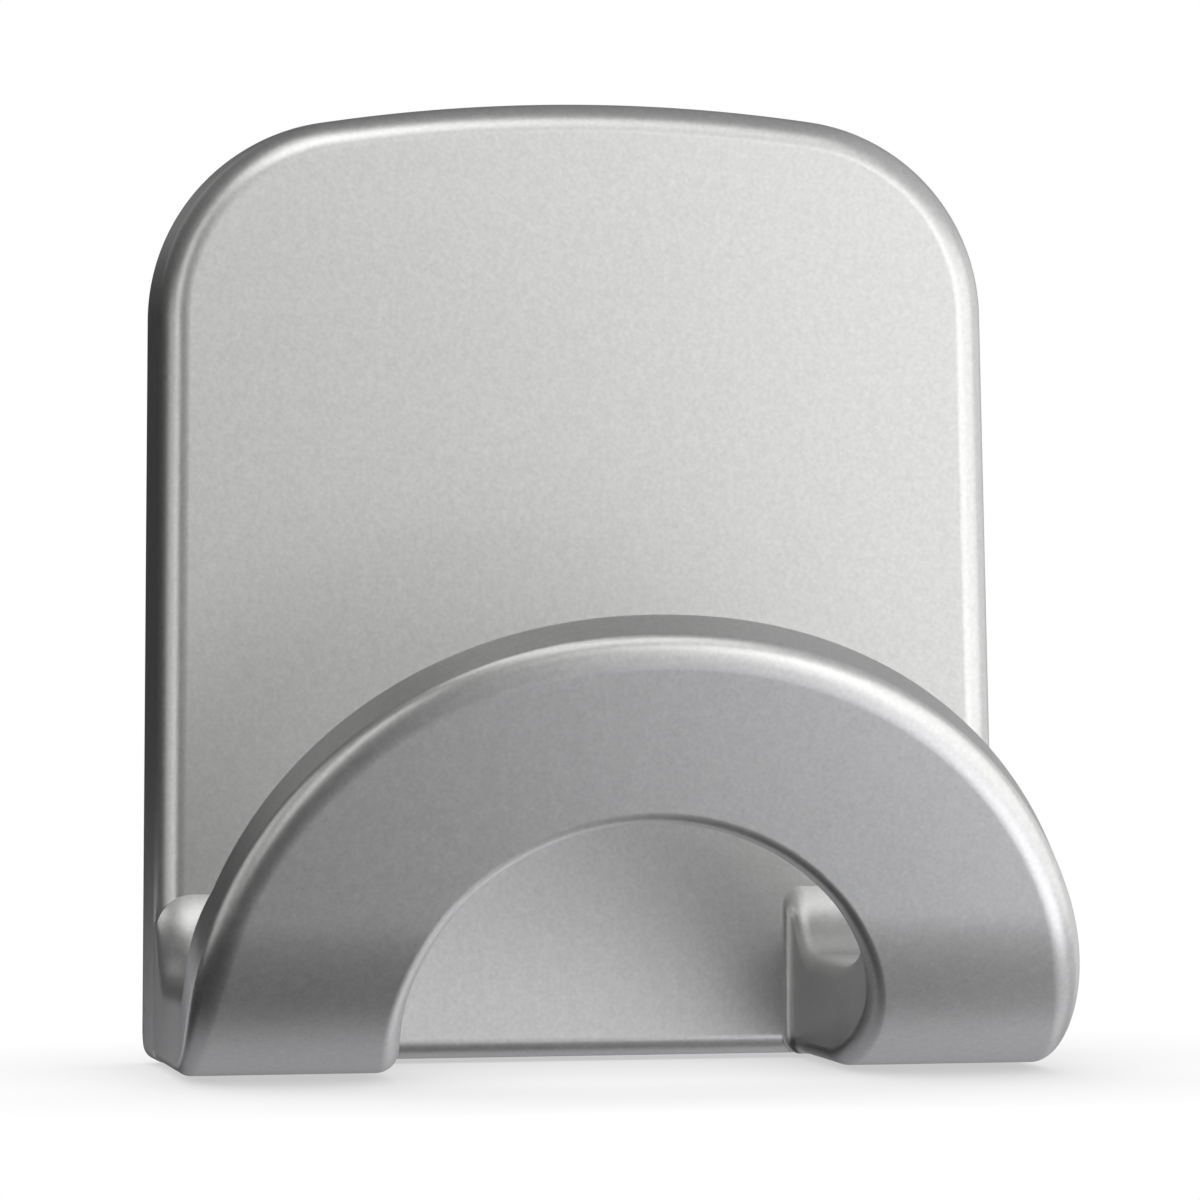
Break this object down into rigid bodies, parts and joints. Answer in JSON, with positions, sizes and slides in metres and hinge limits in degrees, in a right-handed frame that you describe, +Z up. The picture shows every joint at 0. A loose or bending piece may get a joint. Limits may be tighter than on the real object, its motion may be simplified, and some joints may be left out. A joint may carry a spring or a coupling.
{
  "type": "self-adhesive wall hook",
  "caption": "Self-adhesive wall hook: a rounded back plate whose two legs bend up into a leaning half-ring lip, with a foam pad and release liner behind.",
  "frame": {"origin": "middle of the rearmost face, on the wall plane and on the hook's plane of symmetry", "axes": "+Z up the wall, +Y into the wall, the hook projects towards -Y"},
  "size_m": [0.045, 0.0356, 0.05],
  "materials": {
    "silver_plastic": "satin silver metallic paint on moulded ABS",
    "foam": "closed-cell polyethylene foam, adhesive on both faces",
    "liner": "silicone-coated paper"
  },
  "bodies": {
    "root": {"hook_body": "silver_plastic", "foam_pad": "foam", "release_liner": "liner"}
  },
  "joints": []
}
